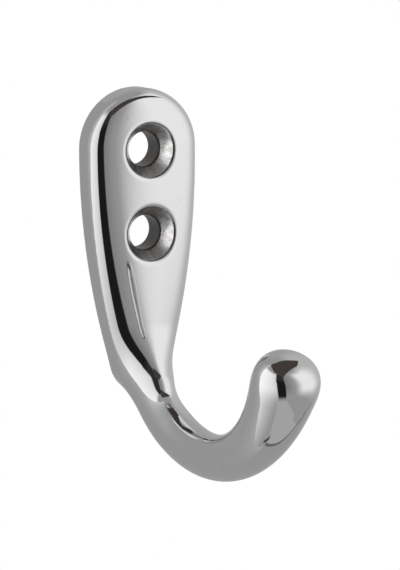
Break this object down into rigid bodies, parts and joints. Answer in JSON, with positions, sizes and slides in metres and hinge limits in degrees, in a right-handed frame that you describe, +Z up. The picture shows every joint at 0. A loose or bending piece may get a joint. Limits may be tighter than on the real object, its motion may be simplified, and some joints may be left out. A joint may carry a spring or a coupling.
{
  "type": "wall hook",
  "caption": "Polished wall hook for coats or robes: a tapering oval screw plate with countersunk holes runs out into a curved round arm with a bulb end.",
  "frame": {"origin": "on the flat back of the plate, on the middle line, halfway between the two screw holes", "axes": "+Z up along the plate, +Y into the wall, the arm stands out along -Y, +X to the right as seen from the room"},
  "size_m": [0.0184, 0.0496, 0.0561],
  "materials": {
    "chrome_plating": "mirror-polished chrome plating over a casting"
  },
  "bodies": {
    "root": {"cast_hook": "chrome_plating"}
  },
  "joints": []
}
